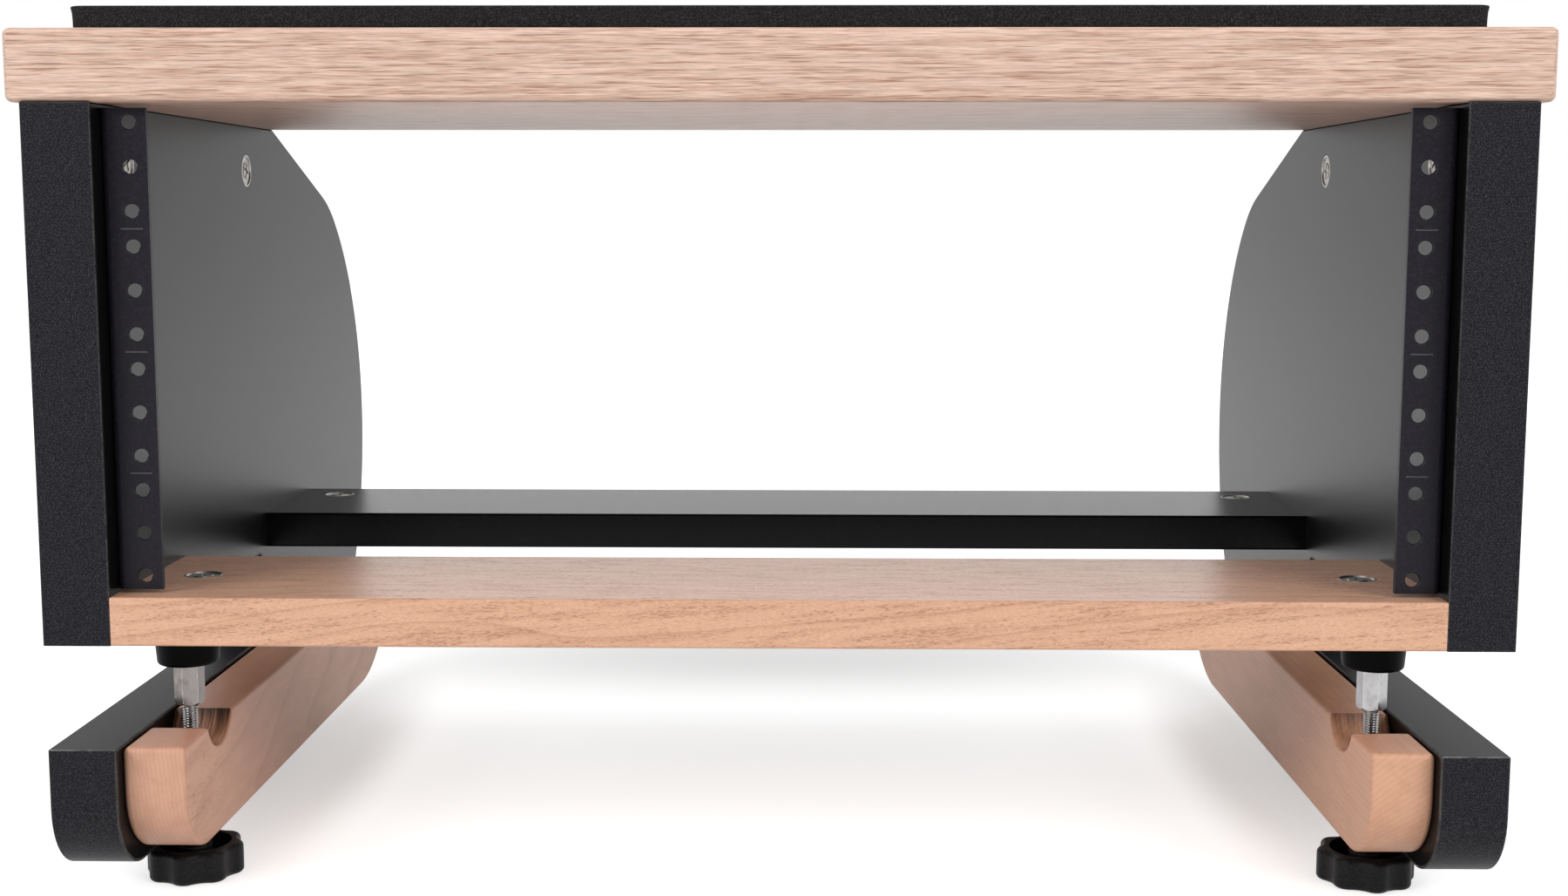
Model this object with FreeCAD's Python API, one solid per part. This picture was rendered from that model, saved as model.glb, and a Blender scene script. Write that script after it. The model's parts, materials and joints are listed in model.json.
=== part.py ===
import FreeCAD, Part
import math
import os

from FreeCAD import Placement, Rotation, Vector

# Studio equipment rack that clamps to the rear edge of a desk. Two C-shaped side panels carry a wooden top,
# a front shelf and a rear crossbar. A desk board slides into the slots of the panels, and a screw in each
# wooden clamp rail presses a pad up against it. All sizes are in millimetres.
# +X is to the right as seen from the front, +Y to the rear and +Z up. The origin is below the middle of the
# outline, on the floor that the knobs stand on.

# Rack bay
RACK_UNITS = 4
UNIT_HEIGHT = 44.45
UNIT_HOLES = (6.35, 22.225, 38.1)
HOLE_SPAN = 465.1
HOLE_INSET = 10.45
HOLE_RADIUS = 3.0
BAY_EASE = 0.4

# Side panels and their edging
PANEL_THICKNESS = 25.0
PANEL_DEPTH = 404.0
EDGING = 1.0
EDGING_ROUND = 0.5
TOP_DEPTH = 235.0
BACK_SHARE = 0.484
SHOULDER_SHARE = 0.58
SHOULDER_SWEEP = 19.6
HEEL_SHARE = 0.616
HEEL_TURN = 65.0
TOE_RADIUS = 27.0
LEG_HEIGHT = 50.0
SLOT_HEIGHT = 39.0
SLOT_DEPTH = 198.0
SLOT_CORNER = 6.0

# Top board, mat, shelf and crossbar
BOARD_THICKNESS = 26.0
BOARD_OVERHANG = 5.5
BOARD_ROUND = 2.5
MAT_THICKNESS = 8.0
MAT_SIDE_MARGIN = 21.5
MAT_END_MARGIN = 5.0
MAT_CORNER = 6.0
MAT_ROUND = 1.5
SHELF_THICKNESS = 18.0
SHELF_DEPTH = 89.0
SHELF_ROUND = 1.0
BAR_THICKNESS = 16.0
BAR_WIDTH = 82.0
BAR_SETBACK = 5.0

# Rack rails
RAIL_RECESS = 9.0
RAIL_FACE = 17.0
RAIL_FLANGE = 18.0
RAIL_STEEL = 2.0
RAIL_BEND = 0.8
RAIL_END_GAP = 1.5
RAIL_SCREWS = 3
RAIL_SCREW_HEAD_RADIUS = 3.4
RAIL_SCREW_HEAD_HEIGHT = 2.2
RAIL_SCREW_RADIUS = 1.75
RAIL_SCREW_LENGTH = 16.0

# Cam fittings and dowels
CAM_RADIUS = 7.5
CAM_SETBACK = 20.0
CAM_BELOW_AXIS = 4.0
CAM_THROAT_RADIUS = 3.7
CAM_SLOT_LENGTH = 8.0
CAM_SLOT_WIDTH = 1.6
CAM_SLOT_DEPTH = 2.0
CAM_BOLT_RADIUS = 3.2
CAM_BOLT_NECK_RADIUS = 2.0
CAM_BOLT_HEAD = 3.0
CAM_BOLT_NECK = 4.0
CAM_BOLT_THREAD_RADIUS = 3.0
CAM_BOLT_THREAD = 10.0
TOP_CAM_DEPTHS = (37.0, 191.0)
TOP_DOWEL_DEPTHS = (69.0, 159.0)
SHELF_CAM_DEPTH = 47.0
SHELF_DOWEL_DEPTHS = (23.0, 71.0)
BAR_CAM_INSET = 62.0
BAR_DOWEL_INSETS = (16.0, 40.0)
DOWEL_RADIUS = 4.0
DOWEL_LENGTH = 30.0
DOWEL_FAR = 11.0

# Clamp rails
CLAMP_RAIL_WIDTH = 23.5
CLAMP_RAIL_DROP = 1.0
CLAMP_RAIL_INSET = 4.5
CLAMP_RAIL_SETBACK = 6.5
CLAMP_RAIL_ROUND = 1.5
CLAMP_RAIL_OUTER_ROUND = 2.5
CLAMP_RAIL_NOSE = 2.0
GROOVE_RADIUS = 16.0
GROOVE_DEPTH = 10.3
CLAMP_SCREW_SHARES = (0.22, 0.47, 0.72)
CLAMP_SCREW_HEAD_RADIUS = 4.6
CLAMP_SCREW_HEAD_DEPTH = 2.6
CLAMP_SCREW_RADIUS = 2.5
CLAMP_SCREW_LENGTH = 40.0

# Clamp screws with their inserts, coupling nuts, knobs and pads
SCREW_DEPTH = 50.5
THREAD_RADIUS = 3.0
INSERT_RADIUS = 5.0
INSERT_LENGTH = 15.0
CLAMP_TRAVEL = 15.0
NUT_STOP_GAP = 1.5
NUT_FLATS = 10.0
NUT_LENGTH = 16.0
NUT_CHAMFER = 0.8
NUT_TURN = 20.0
ROD_IN_NUT = 8.0
STUD_GAP = 1.0
PAD_HEIGHT = 10.0
PAD_TOP_RADIUS = 12.5
PAD_BOTTOM_RADIUS = 11.7
PAD_ROUND = 1.5
BALL_RADIUS = 3.5
BALL_HEIGHT = 5.0
STUD_NECK_RADIUS = 2.2
KNOB_HEIGHT = 12.5
KNOB_RADIUS = 19.0
KNOB_VALLEY_RADIUS = 17.0
KNOB_LOBES = 8
KNOB_LOBE_RADIUS = 5.5
KNOB_HOLLOW_RADIUS = 14.0
KNOB_FLOOR = 3.0
KNOB_ROUND = 2.0
KNOB_HUB_RADIUS = 6.5
KNOB_HUB_DROP = 1.0

# Clearances
FIT = 0.02
RUNNING_FIT = 0.05
ROD_CLEARANCE = 0.75
NECK_CLEARANCE = 0.6
PAD_GAP = 0.3
KNOB_GAP = 1.0
OVERCUT = 1.0

# Driver recesses, as shares of the screw head's width
CROSS_LENGTH = 0.6
CROSS_WIDTH = 0.16
CROSS_DEPTH = 0.25

# Levels, from the floor up
LEG_BOTTOM = KNOB_HEIGHT + KNOB_GAP
LEG_TOP = LEG_BOTTOM + LEG_HEIGHT
SLOT_TOP = LEG_TOP + SLOT_HEIGHT
SHELF_TOP = SLOT_TOP + SHELF_THICKNESS
BOARD_BOTTOM = SHELF_TOP + RACK_UNITS * UNIT_HEIGHT + BAY_EASE
BOARD_TOP = BOARD_BOTTOM + BOARD_THICKNESS
CLAMP_RAIL_TOP = LEG_TOP - CLAMP_RAIL_DROP
CLAMP_RAIL_BOTTOM = LEG_BOTTOM + CLAMP_RAIL_INSET
GROOVE_BOTTOM = CLAMP_RAIL_TOP - GROOVE_DEPTH
NUT_BOTTOM = GROOVE_BOTTOM + CLAMP_TRAVEL + NUT_STOP_GAP
NUT_TOP = NUT_BOTTOM + NUT_LENGTH
PAD_BOTTOM = NUT_TOP + PAD_GAP

# Places of the left side; the right side is its mirror image
FRONT_Y = -PANEL_DEPTH / 2
HOLE_X = -HOLE_SPAN / 2
INNER_X = HOLE_X - HOLE_INSET
OUTER_X = INNER_X - PANEL_THICKNESS
PANEL_MID_X = INNER_X - PANEL_THICKNESS / 2
CLAMP_INNER_X = INNER_X + CLAMP_RAIL_WIDTH
SCREW_X = INNER_X + CLAMP_RAIL_WIDTH / 2
BAR_FRONT = SLOT_DEPTH + BAR_SETBACK

RIGHT = Vector(1, 0, 0)
REAR = Vector(0, 1, 0)
UP = Vector(0, 0, 1)


def spot(x, depth, z):
    """Point at a depth behind the front of the rack."""
    return Vector(x, FRONT_Y + depth, z)


def block(x, depth, z):
    """Box between pairs of X places, depths and heights."""
    return Part.makeBox(x[1] - x[0], depth[1] - depth[0], z[1] - z[0], spot(x[0], depth[0], z[0]))


def cylinder(radius, start, end):
    return Part.makeCylinder(radius, start.distanceToPoint(end), start, end - start)


def mirrored(shape):
    return shape.mirror(Vector(), RIGHT)


def both(shapes):
    """Left shapes followed by their mirror images."""
    return list(shapes) + [mirrored(shape) for shape in shapes]


def edges_at(shape, x):
    """Edges that lie wholly at one X place."""
    return [edge for edge in shape.Edges if abs(edge.BoundBox.XMin - x) < FIT and edge.BoundBox.XLength < FIT]


def save(name, solids):
    shape = solids[0] if len(solids) == 1 else Part.makeCompound(solids)
    shape.exportStep(f"parts/{name}.step")


def save_sides(name, left):
    save(f"left_{name}", [left])
    save(f"right_{name}", [mirrored(left)])


def off(center, radius, angle):
    """Pair at a radius from a centre, at an angle in degrees."""
    way = math.radians(angle)
    return center[0] + radius * math.cos(way), center[1] + radius * math.sin(way)


def turn(center, radius, start, end):
    """Start, middle and end of an arc, as pairs, between two angles in degrees."""
    return [off(center, radius, angle) for angle in (start, (start + end) / 2, end)]


def outline(runs, place):
    """Closed face through runs of pairs, which place makes points: one is a corner, three are an arc."""
    runs = [[place(*pair) for pair in run] for run in runs]
    edges = []
    for run, following in zip(runs, runs[1:] + runs[:1]):
        if len(run) == 3:
            edges.append(Part.Arc(*run).toShape())
        if run[-1].distanceToPoint(following[0]) > FIT / 10:
            edges.append(Part.LineSegment(run[-1], following[0]).toShape())
    return Part.Face(Part.Wire(edges))


def on_panel(depth, z):
    return spot(INNER_X, depth, z)


def in_plan(x, depth):
    return spot(x, depth, 0)


def on_screw(z):
    """Point on the axis of the left clamp screw."""
    return spot(SCREW_X, SCREW_DEPTH, z)


# Side panel outline. The back is an arc, with the heel and the shoulder tangent to it from inside.
BACK_RADIUS = BACK_SHARE * (BOARD_BOTTOM - LEG_BOTTOM)
SHOULDER_RADIUS = SHOULDER_SHARE * BACK_RADIUS
HEEL_RADIUS = HEEL_SHARE * BACK_RADIUS
HEEL_RISE = (BACK_RADIUS - HEEL_RADIUS) * math.sin(math.radians(HEEL_TURN))
BACK_CENTER = (PANEL_DEPTH - BACK_RADIUS, LEG_BOTTOM + HEEL_RADIUS + HEEL_RISE)
HEEL_CENTER = off(BACK_CENTER, BACK_RADIUS - HEEL_RADIUS, -HEEL_TURN)


def shoulder_end():
    """Angle at which the straight run from the top's rear corner touches the shoulder arc."""
    sweep = math.radians(SHOULDER_SWEEP)
    reach = SHOULDER_RADIUS + (BACK_RADIUS - SHOULDER_RADIUS) * math.cos(sweep)
    corner = (TOP_DEPTH - BACK_CENTER[0], BOARD_BOTTOM - BACK_CENTER[1])
    return math.degrees(math.atan2(corner[1], corner[0]) - math.acos(reach / math.hypot(*corner)))


SHOULDER_END = shoulder_end()
SHOULDER_START = SHOULDER_END - SHOULDER_SWEEP
SHOULDER_CENTER = off(BACK_CENTER, BACK_RADIUS - SHOULDER_RADIUS, SHOULDER_START)


def panel_outline(inset):
    """Outline of a side panel, drawn in by inset everywhere but along its top."""
    slot_high = (SLOT_DEPTH - SLOT_CORNER, SLOT_TOP - SLOT_CORNER)
    slot_low = (SLOT_DEPTH - SLOT_CORNER, LEG_TOP + SLOT_CORNER)
    shoulder_inset = inset / math.cos(math.radians(SHOULDER_END))
    return outline([
        [(inset, BOARD_BOTTOM)],
        [(inset, SLOT_TOP + inset)],
        turn(slot_high, SLOT_CORNER + inset, 90, 0),
        turn(slot_low, SLOT_CORNER + inset, 0, -90),
        [(inset, LEG_TOP - inset)],
        turn((TOE_RADIUS, LEG_BOTTOM + TOE_RADIUS), TOE_RADIUS - inset, 180, 270),
        turn(HEEL_CENTER, HEEL_RADIUS - inset, -90, -HEEL_TURN),
        turn(BACK_CENTER, BACK_RADIUS - inset, -HEEL_TURN, SHOULDER_START),
        turn(SHOULDER_CENTER, SHOULDER_RADIUS - inset, SHOULDER_START, SHOULDER_END),
        [(TOP_DEPTH - shoulder_inset, BOARD_BOTTOM)],
    ], on_panel)


def clamp_rail_outline():
    """Outline of a clamp rail, which follows the leg and has a round groove behind its front end."""
    back = BACK_RADIUS - CLAMP_RAIL_INSET
    top_angle = math.degrees(math.asin((CLAMP_RAIL_TOP - BACK_CENTER[1]) / back))
    groove = (SCREW_DEPTH, GROOVE_BOTTOM + GROOVE_RADIUS)
    lip = math.degrees(math.asin((GROOVE_RADIUS - GROOVE_DEPTH) / GROOVE_RADIUS))
    nose = (CLAMP_RAIL_SETBACK + CLAMP_RAIL_NOSE, CLAMP_RAIL_TOP - CLAMP_RAIL_NOSE)
    toe = (CLAMP_RAIL_SETBACK + TOE_RADIUS, CLAMP_RAIL_BOTTOM + TOE_RADIUS)
    return outline([
        turn(nose, CLAMP_RAIL_NOSE, 90, 180),
        turn(toe, TOE_RADIUS, 180, 270),
        turn(HEEL_CENTER, HEEL_RADIUS - CLAMP_RAIL_INSET, -90, -HEEL_TURN),
        turn(BACK_CENTER, back, -HEEL_TURN, top_angle),
        turn(groove, GROOVE_RADIUS, -lip, lip - 180),
    ], on_panel)


def rack_rail_outline():
    """Section of a rack rail: a drilled face and a flange against the panel, with a bend between."""
    outer = RAIL_BEND + RAIL_STEEL
    bend = (INNER_X + outer, RAIL_RECESS + outer)
    return outline([
        [(INNER_X + RAIL_FACE, RAIL_RECESS)],
        turn(bend, outer, 270, 180),
        [(INNER_X, RAIL_RECESS + RAIL_FLANGE)],
        [(INNER_X + RAIL_STEEL, RAIL_RECESS + RAIL_FLANGE)],
        turn(bend, RAIL_BEND, 180, 270),
        [(INNER_X + RAIL_FACE, RAIL_RECESS + RAIL_STEEL)],
    ], in_plan)


def knob_outline():
    """Wavy outline of a knob about the screw: lobes and valleys are tangent arcs."""
    step = 360 / KNOB_LOBES
    cosine = math.cos(math.radians(step / 2))
    lobe_at = KNOB_RADIUS - KNOB_LOBE_RADIUS
    spare = lobe_at ** 2 + KNOB_VALLEY_RADIUS ** 2 - 2 * lobe_at * KNOB_VALLEY_RADIUS * cosine
    gap = KNOB_LOBE_RADIUS - KNOB_VALLEY_RADIUS + lobe_at * cosine
    valley = (spare - KNOB_LOBE_RADIUS ** 2) / 2 / gap
    valley_at = KNOB_VALLEY_RADIUS + valley
    reach = KNOB_LOBE_RADIUS + valley
    bend = math.degrees(math.asin(valley_at * math.sin(math.radians(step / 2)) / reach))
    sweep = bend if lobe_at < valley_at * cosine else 180 - bend
    runs = []
    for lobe in range(KNOB_LOBES):
        way = lobe * step
        between = way + step / 2
        center = off((SCREW_X, SCREW_DEPTH), lobe_at, way)
        hollow = off((SCREW_X, SCREW_DEPTH), valley_at, between)
        runs.append(turn(center, KNOB_LOBE_RADIUS, way - sweep, way + sweep))
        runs.append(turn(hollow, valley, way + sweep + 180, 2 * between - way - sweep + 180))
    return outline(runs, in_plan)


def cam_fitting(center, face_way, bolt_way, thickness):
    """Cam lock in the middle of a board, and the bolt that it draws out of the next board.

    Returns the lock, the bolt, the cut in the lock's board and the cut in the next board.
    """
    face = thickness / 2
    corner = Vector(face - CAM_SLOT_DEPTH, -CAM_SLOT_LENGTH / 2, -CAM_SLOT_WIDTH / 2)
    recess = Part.makeBox(CAM_SLOT_DEPTH + OVERCUT, CAM_SLOT_LENGTH, CAM_SLOT_WIDTH, corner)
    crossed = recess.copy()
    crossed.rotate(Vector(), RIGHT, 90)
    lock = cylinder(CAM_RADIUS, RIGHT * -CAM_BELOW_AXIS, RIGHT * face)
    throat = cylinder(CAM_THROAT_RADIUS, UP * -CAM_THROAT_RADIUS, UP * (CAM_RADIUS + OVERCUT))
    lock = lock.cut([throat, recess, crossed])

    neck_start = CAM_BOLT_HEAD / 2
    shank_start = neck_start + CAM_BOLT_NECK
    tip = CAM_SETBACK + CAM_BOLT_THREAD
    bolt = cylinder(CAM_BOLT_RADIUS, UP * -neck_start, UP * neck_start).fuse([
        cylinder(CAM_BOLT_NECK_RADIUS, UP * neck_start, UP * shank_start),
        cylinder(CAM_BOLT_RADIUS, UP * shank_start, UP * CAM_SETBACK),
        cylinder(CAM_BOLT_THREAD_RADIUS, UP * CAM_SETBACK, UP * tip),
    ])
    own_cut = cylinder(CAM_RADIUS + FIT, RIGHT * -CAM_BELOW_AXIS, RIGHT * (face + OVERCUT)).fuse(
        cylinder(CAM_BOLT_RADIUS + FIT, Vector(), UP * (CAM_SETBACK + OVERCUT)))
    next_cut = cylinder(CAM_BOLT_THREAD_RADIUS + FIT, UP * (CAM_SETBACK - OVERCUT), UP * tip)
    placed = Placement(center, Rotation(face_way, bolt_way.cross(face_way), bolt_way, "ZXY"))
    fitting = [lock, bolt, own_cut, next_cut]
    for shape in fitting:
        shape.Placement = placed
    return fitting


def dowel(joint, way):
    """Dowel across a joint, with the longer part behind it, and the hole for both boards."""
    start = joint - way * (DOWEL_LENGTH - DOWEL_FAR)
    end = joint + way * DOWEL_FAR
    return cylinder(DOWEL_RADIUS, start, end), cylinder(DOWEL_RADIUS + FIT, start, end)


def cross_recess(seat, way, size):
    """Driver recess that goes in along way from the middle of a screw's head."""
    corner = Vector(-size * CROSS_LENGTH / 2, -size * CROSS_WIDTH / 2, -OVERCUT)
    arm = Part.makeBox(size * CROSS_LENGTH, size * CROSS_WIDTH, size * CROSS_DEPTH + OVERCUT, corner)
    other = arm.copy()
    other.rotate(Vector(), UP, 90)
    cross = arm.fuse(other)
    cross.Placement = Placement(seat, Rotation(UP, way))
    return cross


def pan_screw(seat, way):
    """Pan head screw on a surface at seat, and the hole for its shank."""
    tip = seat + way * RAIL_SCREW_LENGTH
    crown = seat - way * RAIL_SCREW_HEAD_HEIGHT
    head = cylinder(RAIL_SCREW_HEAD_RADIUS, crown, seat)
    screw = head.fuse(cylinder(RAIL_SCREW_RADIUS, seat, tip))
    recess = cross_recess(crown, way, 2 * RAIL_SCREW_HEAD_RADIUS)
    hole = cylinder(RAIL_SCREW_RADIUS + FIT, seat - way * OVERCUT, tip)
    return screw.cut(recess), hole


def countersunk_screw(seat, way):
    """Countersunk screw that is flush with a surface at seat, and the hole for it."""
    tip = seat + way * CLAMP_SCREW_LENGTH

    def cone_and_shank(ease):
        wide = CLAMP_SCREW_HEAD_RADIUS + ease
        narrow = CLAMP_SCREW_RADIUS + ease
        head = Part.makeCone(wide, narrow, CLAMP_SCREW_HEAD_DEPTH, seat, way)
        return head.fuse(cylinder(narrow, seat, tip))

    recess = cross_recess(seat, way, 2 * CLAMP_SCREW_HEAD_RADIUS)
    return cone_and_shank(0).cut(recess), cone_and_shank(FIT)


def coupling_nut():
    """Long hexagon nut about the screw, chamfered at both ends."""
    corner = NUT_FLATS / math.sqrt(3)
    sides = [[off((SCREW_X, SCREW_DEPTH), corner, NUT_TURN + 60 * side)] for side in range(6)]
    hexagon = outline(sides, in_plan).extrude(UP * NUT_LENGTH)
    hexagon.translate(UP * NUT_BOTTOM)
    bar = cylinder(corner, on_screw(NUT_BOTTOM), on_screw(NUT_TOP))
    rims = [edge for edge in bar.Edges if len(edge.Vertexes) == 1]
    bore = cylinder(THREAD_RADIUS + FIT, on_screw(NUT_BOTTOM - OVERCUT), on_screw(NUT_TOP + OVERCUT))
    return hexagon.common(bar.makeChamfer(NUT_CHAMFER, rims)).cut(bore)


def pad_stud():
    """Stud that joins the coupling nut to the ball inside the pad."""
    ball = PAD_BOTTOM + BALL_HEIGHT
    shank = cylinder(THREAD_RADIUS, on_screw(NUT_BOTTOM + ROD_IN_NUT + STUD_GAP), on_screw(NUT_TOP))
    neck = cylinder(STUD_NECK_RADIUS, on_screw(NUT_TOP), on_screw(ball))
    return shank.fuse([neck, Part.makeSphere(BALL_RADIUS, on_screw(ball))])


def clamp_pad():
    """Pad that turns on the stud's ball and presses on the desk from below."""
    ball = PAD_BOTTOM + BALL_HEIGHT
    body = Part.makeCone(PAD_BOTTOM_RADIUS, PAD_TOP_RADIUS, PAD_HEIGHT, on_screw(PAD_BOTTOM))
    rims = [edge for edge in body.Edges if len(edge.Vertexes) == 1]
    body = body.makeFillet(PAD_ROUND, rims)
    socket = Part.makeSphere(BALL_RADIUS + RUNNING_FIT, on_screw(ball))
    opening = cylinder(STUD_NECK_RADIUS + NECK_CLEARANCE, on_screw(PAD_BOTTOM - OVERCUT), on_screw(ball))
    return body.cut([socket, opening])


def knob():
    """Star knob with its hollow side up and a hub around the end of the rod."""
    body = knob_outline().extrude(UP * KNOB_HEIGHT)
    rims = [edge for edge in body.Edges if abs(edge.BoundBox.ZLength) < FIT]
    body = body.makeFillet(KNOB_ROUND, rims)
    hollow = cylinder(KNOB_HOLLOW_RADIUS, on_screw(KNOB_FLOOR), on_screw(KNOB_HEIGHT + OVERCUT))
    hub = cylinder(KNOB_HUB_RADIUS, on_screw(KNOB_FLOOR), on_screw(KNOB_HEIGHT - KNOB_HUB_DROP))
    bore = cylinder(THREAD_RADIUS + FIT, on_screw(KNOB_FLOOR), on_screw(KNOB_HEIGHT + OVERCUT))
    return body.cut(hollow).fuse(hub).cut(bore)


def clamp_rail(cuts):
    """Wooden rail inside a leg, with the insert's bore and the rod's hole under the groove."""
    rail = clamp_rail_outline().extrude(RIGHT * CLAMP_RAIL_WIDTH)
    rail = rail.makeFillet(CLAMP_RAIL_ROUND, edges_at(rail, CLAMP_INNER_X))
    rail = rail.makeFillet(CLAMP_RAIL_OUTER_ROUND, edges_at(rail, INNER_X))
    bore = cylinder(INSERT_RADIUS + FIT, on_screw(CLAMP_RAIL_BOTTOM - OVERCUT),
                    on_screw(CLAMP_RAIL_BOTTOM + INSERT_LENGTH))
    hole = cylinder(THREAD_RADIUS + ROD_CLEARANCE, on_screw(CLAMP_RAIL_BOTTOM), on_screw(CLAMP_RAIL_TOP))
    return rail.cut([bore, hole] + cuts)


def rack_rail(cuts):
    """Bent steel rail, drilled for the fixing screws of the units."""
    low = SHELF_TOP + RAIL_END_GAP
    high = BOARD_BOTTOM - RAIL_END_GAP
    rail = rack_rail_outline().extrude(UP * (high - low))
    rail.translate(UP * low)
    first = BOARD_BOTTOM - BAY_EASE / 2
    levels = [first - unit * UNIT_HEIGHT - hole for unit in range(RACK_UNITS) for hole in UNIT_HOLES]
    front = RAIL_RECESS - OVERCUT
    back = RAIL_RECESS + RAIL_STEEL + OVERCUT
    holes = [cylinder(HOLE_RADIUS, spot(HOLE_X, front, z), spot(HOLE_X, back, z)) for z in levels]
    return rail.cut(holes + cuts)


def rounded(shape, radius):
    """The shape with all its edges rounded."""
    return shape.makeFillet(radius, shape.Edges)


def eased(board):
    """The board with its edges from side to side rounded."""
    long_edges = [edge for edge in board.Edges if edge.BoundBox.XLength > 2 * SHELF_ROUND]
    return board.makeFillet(SHELF_ROUND, [edge for edge in long_edges if edge.BoundBox.YLength < FIT])


os.makedirs("parts", exist_ok=True)

# Fittings of the left side
top_cams = [spot(PANEL_MID_X, depth, BOARD_BOTTOM - CAM_SETBACK) for depth in TOP_CAM_DEPTHS]
top_fittings = [cam_fitting(center, RIGHT, UP, PANEL_THICKNESS) for center in top_cams]
shelf_middle = SLOT_TOP + SHELF_THICKNESS / 2
shelf_cam = spot(INNER_X + CAM_SETBACK, SHELF_CAM_DEPTH, shelf_middle)
shelf_fitting = cam_fitting(shelf_cam, UP, -RIGHT, SHELF_THICKNESS)
bar_middle = SHELF_TOP - BAR_THICKNESS / 2
bar_cam = spot(INNER_X + CAM_SETBACK, BAR_FRONT + BAR_CAM_INSET, bar_middle)
bar_fitting = cam_fitting(bar_cam, UP, -RIGHT, BAR_THICKNESS)
top_dowels = [dowel(spot(PANEL_MID_X, depth, BOARD_BOTTOM), UP) for depth in TOP_DOWEL_DEPTHS]
shelf_dowels = [dowel(spot(INNER_X, depth, shelf_middle), -RIGHT) for depth in SHELF_DOWEL_DEPTHS]
bar_dowels = [dowel(spot(INNER_X, BAR_FRONT + inset, bar_middle), -RIGHT) for inset in BAR_DOWEL_INSETS]

rail_screw_depth = RAIL_RECESS + (RAIL_STEEL + RAIL_FLANGE) / 2
rail_screw_step = (BOARD_BOTTOM - SHELF_TOP) / RAIL_SCREWS
rail_screw_levels = [SHELF_TOP + rail_screw_step * (place + 0.5) for place in range(RAIL_SCREWS)]
rail_screws = [pan_screw(spot(INNER_X + RAIL_STEEL, rail_screw_depth, z), -RIGHT) for z in rail_screw_levels]
clamp_screw_level = (CLAMP_RAIL_TOP + CLAMP_RAIL_BOTTOM) / 2
clamp_screw_seats = [spot(OUTER_X, PANEL_DEPTH * share, clamp_screw_level) for share in CLAMP_SCREW_SHARES]
clamp_screws = [countersunk_screw(seat, RIGHT) for seat in clamp_screw_seats]

rail_screw_holes = [hole for _, hole in rail_screws]
clamp_screw_holes = [hole for _, hole in clamp_screws]
dowel_holes = [hole for _, hole in top_dowels + shelf_dowels + bar_dowels]

# Panels and what they carry
core = panel_outline(EDGING).extrude(RIGHT * -PANEL_THICKNESS)
whole = panel_outline(0).extrude(RIGHT * -PANEL_THICKNESS)
panel_cuts = [fitting[2] for fitting in top_fittings] + [shelf_fitting[3], bar_fitting[3]]
save_sides("side_panel", core.cut(panel_cuts + dowel_holes + rail_screw_holes + clamp_screw_holes))
rims = edges_at(whole, INNER_X) + edges_at(whole, OUTER_X)
rims = [edge for edge in rims if edge.BoundBox.ZMin < BOARD_BOTTOM - FIT]
save_sides("panel_edging", whole.makeFillet(EDGING_ROUND, rims).cut(core))

board_x = OUTER_X - BOARD_OVERHANG
board = rounded(block((board_x, -board_x), (0, TOP_DEPTH), (BOARD_BOTTOM, BOARD_TOP)), BOARD_ROUND)
board_cuts = [fitting[3] for fitting in top_fittings] + [hole for _, hole in top_dowels]
save("top_board", [board.cut(both(board_cuts))])

mat_x = board_x + MAT_SIDE_MARGIN
mat_top = BOARD_TOP + MAT_THICKNESS
mat = block((mat_x, -mat_x), (MAT_END_MARGIN, TOP_DEPTH - MAT_END_MARGIN), (BOARD_TOP, mat_top))
mat = mat.makeFillet(MAT_CORNER, [edge for edge in mat.Edges if edge.BoundBox.ZLength > MAT_THICKNESS / 2])
crown = [edge for edge in mat.Edges if edge.BoundBox.ZMin > mat_top - FIT]
save("top_mat", [mat.makeFillet(MAT_ROUND, crown)])

shelf = eased(block((INNER_X, -INNER_X), (0, SHELF_DEPTH), (SLOT_TOP, SHELF_TOP)))
shelf_cuts = [shelf_fitting[2]] + [hole for _, hole in shelf_dowels]
save("bottom_shelf", [shelf.cut(both(shelf_cuts))])

bar_depth = (BAR_FRONT, BAR_FRONT + BAR_WIDTH)
bar = eased(block((INNER_X, -INNER_X), bar_depth, (SHELF_TOP - BAR_THICKNESS, SHELF_TOP)))
bar_cuts = [bar_fitting[2]] + [hole for _, hole in bar_dowels]
save("rear_crossbar", [bar.cut(both(bar_cuts))])

save_sides("rack_rail", rack_rail(rail_screw_holes))
save("rack_rail_screws", both([screw for screw, _ in rail_screws]))

# Fasteners of the boards
save("top_cam_locks", both([fitting[0] for fitting in top_fittings]))
save("top_cam_bolts", both([fitting[1] for fitting in top_fittings]))
save("shelf_cam_locks", both(shelf_fitting[:1]))
save("shelf_cam_bolts", both(shelf_fitting[1:2]))
save("crossbar_cam_locks", both(bar_fitting[:1]))
save("crossbar_cam_bolts", both(bar_fitting[1:2]))
save("top_dowels", both([pin for pin, _ in top_dowels]))
save("shelf_dowels", both([pin for pin, _ in shelf_dowels]))
save("crossbar_dowels", both([pin for pin, _ in bar_dowels]))

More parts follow.
